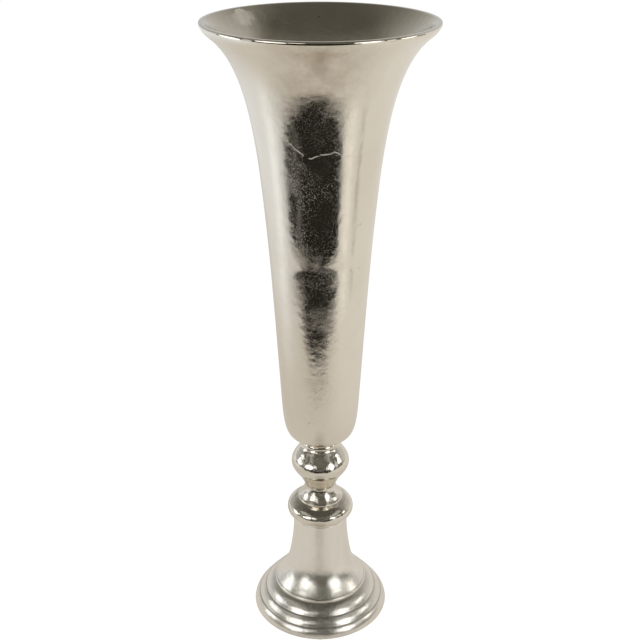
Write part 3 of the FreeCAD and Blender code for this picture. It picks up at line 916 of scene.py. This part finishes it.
@dataclass
class Foot:
    """The hollow stepped foot with its column, and the felt pads under its rim."""

    base: float = 1.5
    rim_radius: float = 92.1
    rim_round: float = 0.9
    column_radius: float = 36.1
    top: float = COLUMN_TOP
    mouth_radius: float = 80.5
    roof: float = 131.2
    pad_ring: float = 85.85
    pad_radius: float = 4.3
    pad_edge: float = 0.35
    pad_count: int = 4
    rows: int = 260
    steps: int = 320
    pad_steps: int = 48

    def outline(self) -> Outline:
        """The foot's closed outline: up the steps and the column, down the hollow."""
        rim, seat = (self.rim_radius, self.base + self.rim_round), (35.7, self.top)
        lower_step, upper_step, bead = (85.8, 15.0), (76.8, 25.6), (62.7, 39.2)
        second_riser, third_riser = (84.6, 15.5), (75.6, 26.1)
        skirt_end, skirt_top = (61.1, 43.8, -39.1), (42.1, 79.7, -11.1)
        column_foot = (self.column_radius, 131.5, 0)
        spigot_top = COLLAR_TOP + SPIGOT_RISE
        inner_top, inner_column, web = (36.9, 79.7, -11.1), (30.9, 127.2, 0), (26.9, self.roof)
        mouth = (self.mouth_radius, 13.0, -46)
        underside = (self.rim_radius - self.rim_round, self.base)
        return Outline(
            [path(underside, rim), bulged(rim, lower_step, 1.2), path(lower_step, second_riser),
             bulged(second_riser, upper_step, 0.8), path(upper_step, third_riser),
             bulged(third_riser, bead, 1.6), bulged(bead, skirt_end, 1.0),
             flow(skirt_end, skirt_top, (0.36, 0.41)), flow(skirt_top, column_foot, (0.27, 0.27)),
             path(column_foot, (self.column_radius, 142.8), seat)],
            [path(seat, (FOOT_SPIGOT, self.top), (FOOT_SPIGOT, spigot_top), (BORE, spigot_top),
                  (BORE, self.roof), web),
             bulged(inner_column, web, 1.17)[::-1], flow(inner_top, inner_column, (0.27, 0.27))[::-1],
             flow(mouth, inner_top, (0.25, 0.40))[::-1],
             path(mouth, (self.mouth_radius, self.base), underside)])

    def pads(self) -> Piece:
        """Four felt pads with soft edges: each a grid of turn by outline place.

        A pad's point at turn t is its centre plus rho (cos t, sin t), where rho and the
        height follow one half-outline from the middle of the underside over the rounded
        edge to the middle of the top.
        """
        side, shoulder, corner = self.pad_radius, self.pad_radius - 0.1, self.pad_radius - self.pad_edge
        half = np.array([(0.0, 0.0), (corner, 0.0), (shoulder, 0.1), (side, self.pad_edge),
                         (side, self.base - self.pad_edge), (shoulder, self.base - 0.1),
                         (corner, self.base), (0.0, self.base)])
        turn = np.linspace(0, 2 * math.pi, self.pad_steps, endpoint=False)
        rho, angle = np.meshgrid(half[:, 0], turn, indexing="ij")
        pad = swept(rho, angle, np.broadcast_to(half[:, 1:2], rho.shape)).reshape(-1, 3)
        quads = ring_quads(len(half), self.pad_steps, False)
        number = np.arange(self.pad_count)
        way = 2 * math.pi * number / self.pad_count
        places = pad + swept(self.pad_ring, way, 0.0 * way)[:, None]
        faces = quads + (number * len(pad))[:, None, None]
        mesh = new_mesh("pads", places * MM, faces.reshape(-1, 4).tolist())
        close_poles(mesh)
        return placed("pads", mesh)

    def make(self, finishes: Finishes) -> None:
        """Builds and dresses the foot and its pads."""
        relief = hand_made(0.10, 9, (2, 3, 5, 8), 60.0)
        foot = turned("foot_cast", self.outline(), self.rows, self.steps, relief)
        dress(foot, "foot", finishes["foot"])
        dress(self.pads(), "felt_pads", finishes["felt"])


# The clamp inside, whose pieces keep their CAD shapes, by finish.
HARDWARE = {
    "zinc": ("tie_rod", "bowl_washer", "dome_nut", "foot_washer", "spring_washer", "hex_nut"),
    "rubber": ("bowl_seal",),
}


def dress_hardware(finishes: Finishes) -> None:
    """Gives the clamp's CAD nodes their finishes."""
    for key, names in HARDWARE.items():
        for name in names:
            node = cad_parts[name]
            node.data.materials.clear()
            node.data.materials.append(finishes[key])
            LOG.info("%s: CAD shape, %s", name, key)


# Studio


@dataclass(frozen=True)
class Lamp:
    """A soft box that faces the vase from one azimuth and elevation, in degrees."""

    azimuth: float
    elevation: float
    width: float
    height: float
    glow: float
    tint: Colour = (1.0, 0.98, 0.95)
    distance: float = 1.46


# Front edge of the pale floor, past which the ground is dark, as (x, y) in metres.
FLOOR_EDGE = ((-1.15, -0.47), (-0.95, -0.51), (-0.76, -0.56), (-0.43, -0.605), (0.0, -0.66),
              (0.5, -0.725), (0.62, -0.765))


def floor_places(radius: object, azimuth: object) -> Array:
    """Floor places (R sin a, -R cos a) at radii in metres and azimuths in degrees."""
    turn = np.radians(azimuth)
    return np.stack([radius * np.sin(turn), -radius * np.cos(turn)], axis=-1)


@dataclass
class Studio:
    """Pale floor, soft boxes, dim room and the camera."""

    lamps: Tuple[Lamp, ...] = (
        Lamp(-90, 11.2, 0.68, 0.58, 1.6, (0.93, 0.97, 1.0)),
        Lamp(-44, 13.6, 0.76, 0.66, 1.9, (0.98, 0.99, 1.0)),
        Lamp(-21, 21.5, 0.35, 0.34, 1.3, (1.0, 0.99, 0.97)),
        Lamp(-67, 15, 0.26, 0.60, 0.4),
        Lamp(43, 14.0, 0.70, 0.69, 2.0, (0.97, 0.99, 1.0)),
        Lamp(66, 15, 0.28, 0.60, 0.65),
        Lamp(85, 15.8, 0.50, 0.46, 1.7, (1.0, 0.99, 0.98)),
        Lamp(-62, 42, 1.50, 0.56, 0.33, distance=1.88),
        Lamp(60, 42, 1.50, 0.56, 0.36, distance=1.88),
        Lamp(131, 55, 0.62, 0.42, 0.22, (1.0, 1.0, 1.0), 2.2),
    )
    aim: float = 0.2
    room_dim: float = 0.09
    room_pale: float = 0.66
    room_haze: float = 0.06
    floor_half: float = 6.0
    shade: Colour = (0.05, 0.05, 0.04)
    camera_place: Tuple[float, float, float] = (0.0, -1.2, 0.9944)
    camera_tilt: float = 64.95
    camera_lens: float = 59.53
    camera_shift: float = -0.0005

    @staticmethod
    def stage_piece(name: str, points: Array, material: Material) -> Piece:
        """One flat stage face through the given points."""
        mesh = new_mesh(name, points, [tuple(range(len(points)))])
        mesh.materials.append(material)
        piece = placed(name, mesh)
        return piece

    def mirrored_floor(self, nodes: Nodes) -> Socket:
        """The floor's tone in the metal, a painted reflection with painted light: bright and cool on the
        left, darker in the middle and warm on the right.

        Three soft shades lie on it: two on the left, near and far, and a narrow one
        between the vase and the camera.
        """
        right, back, _ = nodes.parts(nodes.place())
        # Painted light: brighter and cool to the left of the middle, brighter and warm to the right.
        cool_lit_left = nodes.ramp(right, -0.43, -1.35)
        warm_lit_right = nodes.ramp(right, 0.05, 0.75)
        colour = nodes.blend(warm_lit_right, (0.67, 0.635, 0.585), (0.80, 0.775, 0.73))
        colour = nodes.blend(cool_lit_left, colour, (1.05, 1.08, 1.12))
        middle = nodes.ramp(nodes.gap(right, -0.01), 0.02, 0.10, 1.0, 0.0)
        for across, start, end, depth in ((cool_lit_left, 0.0, -0.42, 0.42), (cool_lit_left, 0.05, 0.5, 0.17),
                                          (middle, -0.40, -0.22, 0.26)):
            share = nodes.times(across, nodes.ramp(back, start, end), depth)
            colour = nodes.blend(share, colour, self.shade)
        return nodes.glow(colour)

    def floor(self) -> None:
        """A plain pale floor: white to the camera with the vase's shadow, pale in the metal."""
        corners = self.floor_half * np.array([(-1, -1, 0), (1, -1, 0), (1, 1, 0), (-1, 1, 0)])
        material, nodes = new_material("pale floor")
        nodes.tree.nodes.clear()
        lit = nodes.add("BsdfDiffuse", {"Color": (0.5, 0.5, 0.5, 1.0)}).outputs[0]
        shown = nodes.add("AddShader", {0: lit, 1: nodes.glow((1.0, 1.0, 1.0), 0.93)}).outputs[0]
        rays = nodes.add("LightPath").outputs
        inner = nodes.add("MixShader", {0: rays["Is Glossy Ray"], 1: nodes.glow((0.7, 0.69, 0.67)),
                                        2: self.mirrored_floor(nodes)}).outputs[0]
        outer = nodes.add("MixShader", {0: rays["Is Camera Ray"], 1: inner, 2: shown}).outputs[0]
        nodes.add("OutputMaterial", {0: outer})
        self.stage_piece("floor", corners, material)

    def card(self, name: str, outline: Array, level: float, tone: Colour) -> None:
        """Lays a flat card that only the metal sees, at a level that no other card has: a painted
        reflection.
        """
        material, nodes = new_material(name)
        nodes.tree.nodes.clear()
        nodes.add("OutputMaterial", {0: nodes.glow(tone)})
        points = np.column_stack([outline, np.full(len(outline), level)])
        piece = self.stage_piece(name, points, material)
        for flag in ("visible_camera", "visible_diffuse", "visible_shadow", "visible_transmission"):
            setattr(piece, flag, False)

    def painted_reflection_cards(self) -> None:
        """Painted reflections: dark ground past the pale floor's front edge, a dim far ring, two strips
        and a leg.
        """
        def sector(near: float, far: float, start: float, end: float) -> Array:
            """Corners of the sector between two radii and two azimuths."""
            return floor_places(np.array([near, far, far, near]), np.array([start, start, end, end]))

        ground = np.vstack([np.array(FLOOR_EDGE), floor_places(5.5, np.linspace(39.0, -67.0, 60))])
        sweep = np.linspace(-112.0, 112.0, 80)
        ring = np.vstack([floor_places(2.6, sweep), floor_places(5.8, sweep[::-1])])
        self.card("dark ground", ground, 0.001, (0.016, 0.0145, 0.012))
        self.card("lit strip", sector(1.07, 1.22, -48.0, -38.5), 0.002, (0.20, 0.19, 0.17))
        self.card("dim floor", ring, 0.0005, (0.13, 0.125, 0.11))
        self.card("stand leg", sector(0.98, 1.6, 73.2, 75.4), 0.002, (0.14, 0.13, 0.11))
        self.card("pale strip", sector(0.90, 1.5, 48.5, 60.0), 0.0015, (0.98, 0.95, 0.90))

    def room(self) -> None:
        """The room: white to the camera, pale behind and at the sides, dim in front and above.

        The front has a haze at the horizon and another higher up.
        """
        world = bpy.data.worlds.new("studio")
        bpy.context.scene.world = world
        world.use_nodes = True
        nodes = Nodes(world.node_tree)
        right, away, up = nodes.parts(nodes.place("Generated"))
        back = nodes.ramp(away, -0.15, 0.42)
        pale = nodes.times(back, nodes.ramp(nodes.scaled(right, -0.14, up), -0.13, 1.12, 1.0, 0.0))
        strength = nodes.scaled(pale, self.room_pale - self.room_dim, self.room_dim)
        horizon = nodes.ramp(nodes.gap(up, 0.0), 0.0, 0.45, self.room_haze, 0.0)
        brow = nodes.times(nodes.ramp(up, 0.30, 0.48), nodes.ramp(up, 0.60, 0.80, self.room_haze, 0.0))
        haze = nodes.times(nodes.math("ADD", horizon, brow), nodes.math("SUBTRACT", 1.0, back))
        strength = nodes.math("ADD", strength, haze)
        camera = nodes.add("LightPath").outputs["Is Camera Ray"]
        mixed = nodes.add("Mix", {0: camera, 2: strength, 3: 1.0}, data_type="FLOAT").outputs[0]
        tint = nodes.blend(nodes.ramp(right, -0.6, 0.6), (0.95, 0.985, 1.03), (1.0, 0.985, 0.985))
        tint = nodes.blend(pale, (1.0, 0.96, 0.82), tint)
        tint = nodes.blend(camera, tint, (1.0, 1.0, 1.0))
        nodes.feed(world.node_tree.nodes["Background"], {"Strength": mixed, "Color": tint})

    def light(self) -> None:
        """Hangs the soft boxes.  A lamp's power is pi times its round area times its glow."""
        for number, lamp in enumerate(self.lamps):
            rise = math.radians(lamp.elevation)
            way = Vector((*floor_places(math.cos(rise), lamp.azimuth), math.sin(rise)))
            data = bpy.data.lights.new("soft box %d" % number, "AREA")
            data.shape = "ELLIPSE"
            data.size, data.size_y = lamp.width, lamp.height
            data.color = lamp.tint
            data.energy = math.pi ** 2 / 4 * lamp.width * lamp.height * lamp.glow
            box = placed(data.name, data)
            box.location = way * lamp.distance + Vector((0, 0, self.aim))
            box.rotation_euler = (-way).to_track_quat("-Z", "Y").to_euler()

    def camera(self) -> None:
        """The camera at the photograph's place: 1.2 m in front and looking down 25 degrees."""
        data = bpy.data.cameras.new("camera")
        data.sensor_width = 36.0
        data.lens = self.camera_lens
        data.shift_x = self.camera_shift
        camera = placed("camera", data)
        camera.location = self.camera_place
        camera.rotation_euler = (math.radians(self.camera_tilt), 0.0, 0.0)
        bpy.context.scene.camera = camera

    def make(self) -> None:
        """Sets the whole stage."""
        self.camera()
        self.floor()
        self.painted_reflection_cards()
        self.room()
        self.light()
        bpy.context.scene.view_settings.view_transform = "Standard"


def main() -> None:
    """Builds the vase piece by piece, dresses it and sets the stage."""
    logging.basicConfig(level=logging.INFO)
    effects = SurfaceEffects()
    finishes = {key: finish.build(effects) for key, finish in FINISHES.items()}
    Bowl().make(finishes)
    Stem().make(finishes)
    Foot().make(finishes)
    dress_hardware(finishes)
    Studio().make()


if __name__ == "__main__":
    main()
